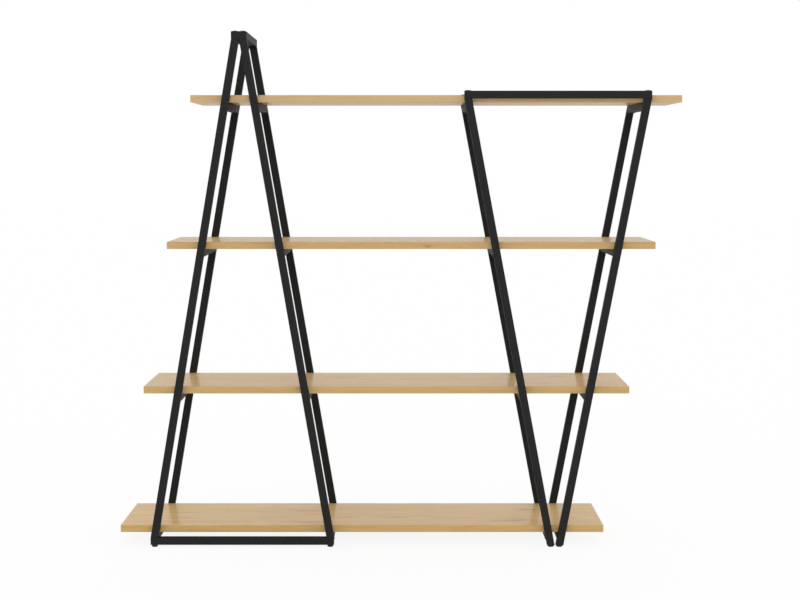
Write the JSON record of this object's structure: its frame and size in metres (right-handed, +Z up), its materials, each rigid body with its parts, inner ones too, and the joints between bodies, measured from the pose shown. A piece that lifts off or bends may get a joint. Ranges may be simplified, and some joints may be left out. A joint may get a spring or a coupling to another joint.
{
  "type": "bookcase",
  "caption": "Open bookcase: wood boards, each stepped sideways from the next, on an A-shaped and a V-shaped frame of black square tube.",
  "frame": {"origin": "on the floor, under the middle of the bookcase", "axes": "+X to the right along the boards, +Y from the front to the rear, +Z up"},
  "size_m": [1.498, 0.3456, 1.3752],
  "materials": {
    "oak_board": "light oak laminate, satin",
    "black_powder_coat": "matt black powder coat",
    "black_bolt_steel": "black oxide",
    "zinc_steel": "zinc plated",
    "black_plastic": "moulded, matt"
  },
  "bodies": {
    "frame": {"bottom_shelf": "oak_board", "lower_shelf": "oak_board", "upper_shelf": "oak_board", "top_shelf": "oak_board", "a_frame_leg_front_left": "black_powder_coat", "a_frame_leg_front_right": "black_powder_coat", "a_frame_leg_rear_left": "black_powder_coat", "a_frame_leg_rear_right": "black_powder_coat", "a_frame_bottom_shelf_support_left": "black_powder_coat", "a_frame_bottom_shelf_support_right": "black_powder_coat", "a_frame_lower_shelf_support_left": "black_powder_coat", "a_frame_lower_shelf_support_right": "black_powder_coat", "a_frame_upper_shelf_support_left": "black_powder_coat", "a_frame_upper_shelf_support_right": "black_powder_coat", "a_frame_top_shelf_support_left": "black_powder_coat", "a_frame_top_shelf_support_right": "black_powder_coat", "a_frame_base_bar_front": "black_powder_coat", "a_frame_base_bar_rear": "black_powder_coat", "a_frame_base_bolt_front_left": "zinc_steel", "a_frame_base_bolt_front_right": "zinc_steel", "a_frame_base_bolt_rear_left": "zinc_steel", "a_frame_base_bolt_rear_right": "zinc_steel", "a_frame_foot_socket_front_left": "black_plastic", "a_frame_foot_socket_front_right": "black_plastic", "a_frame_foot_socket_rear_left": "black_plastic", "a_frame_foot_socket_rear_right": "black_plastic", "a_frame_ridge_tube": "black_powder_coat", "a_frame_ridge_bolt_front_left": "black_bolt_steel", "a_frame_ridge_bolt_front_right": "black_bolt_steel", "a_frame_ridge_bolt_rear_left": "black_bolt_steel", "a_frame_ridge_bolt_rear_right": "black_bolt_steel", "v_frame_leg_front_left": "black_powder_coat", "v_frame_leg_front_right": "black_powder_coat", "v_frame_leg_rear_left": "black_powder_coat", "v_frame_leg_rear_right": "black_powder_coat", "v_frame_bottom_shelf_support_left": "black_powder_coat", "v_frame_bottom_shelf_support_right": "black_powder_coat", "v_frame_lower_shelf_support_left": "black_powder_coat", "v_frame_lower_shelf_support_right": "black_powder_coat", "v_frame_upper_shelf_support_left": "black_powder_coat", "v_frame_upper_shelf_support_right": "black_powder_coat", "v_frame_top_shelf_support_left": "black_powder_coat", "v_frame_top_shelf_support_right": "black_powder_coat", "v_frame_top_bar_front": "black_powder_coat", "v_frame_top_bar_rear": "black_powder_coat", "v_frame_top_bolt_front_left": "black_bolt_steel", "v_frame_top_bolt_front_right": "black_bolt_steel", "v_frame_top_bolt_rear_left": "black_bolt_steel", "v_frame_top_bolt_rear_right": "black_bolt_steel"},
    "a_foot_front_left": {"a_frame_foot_front_left": "black_plastic"},
    "a_foot_front_right": {"a_frame_foot_front_right": "black_plastic"},
    "a_foot_rear_left": {"a_frame_foot_rear_left": "black_plastic"},
    "a_foot_rear_right": {"a_frame_foot_rear_right": "black_plastic"},
    "v_foot_front_left": {"v_frame_foot_front_left": "black_plastic"},
    "v_foot_front_right": {"v_frame_foot_front_right": "black_plastic"},
    "v_foot_rear_left": {"v_frame_foot_rear_left": "black_plastic"},
    "v_foot_rear_right": {"v_frame_foot_rear_right": "black_plastic"}
  },
  "joints": [
    {"name": "a_foot_front_left_travel", "type": "slide", "parent": "frame", "child": "a_foot_front_left", "axis": [0, 0, 1], "range_m": [-0.006, 0]},
    {"name": "a_foot_front_right_travel", "type": "slide", "parent": "frame", "child": "a_foot_front_right", "axis": [0, 0, 1], "range_m": [-0.006, 0]},
    {"name": "a_foot_rear_left_travel", "type": "slide", "parent": "frame", "child": "a_foot_rear_left", "axis": [0, 0, 1], "range_m": [-0.006, 0]},
    {"name": "a_foot_rear_right_travel", "type": "slide", "parent": "frame", "child": "a_foot_rear_right", "axis": [0, 0, 1], "range_m": [-0.006, 0]},
    {"name": "v_foot_front_left_travel", "type": "slide", "parent": "frame", "child": "v_foot_front_left", "axis": [0, 0, 1], "range_m": [-0.006, 0]},
    {"name": "v_foot_front_right_travel", "type": "slide", "parent": "frame", "child": "v_foot_front_right", "axis": [0, 0, 1], "range_m": [-0.006, 0]},
    {"name": "v_foot_rear_left_travel", "type": "slide", "parent": "frame", "child": "v_foot_rear_left", "axis": [0, 0, 1], "range_m": [-0.006, 0]},
    {"name": "v_foot_rear_right_travel", "type": "slide", "parent": "frame", "child": "v_foot_rear_right", "axis": [0, 0, 1], "range_m": [-0.006, 0]}
  ]
}
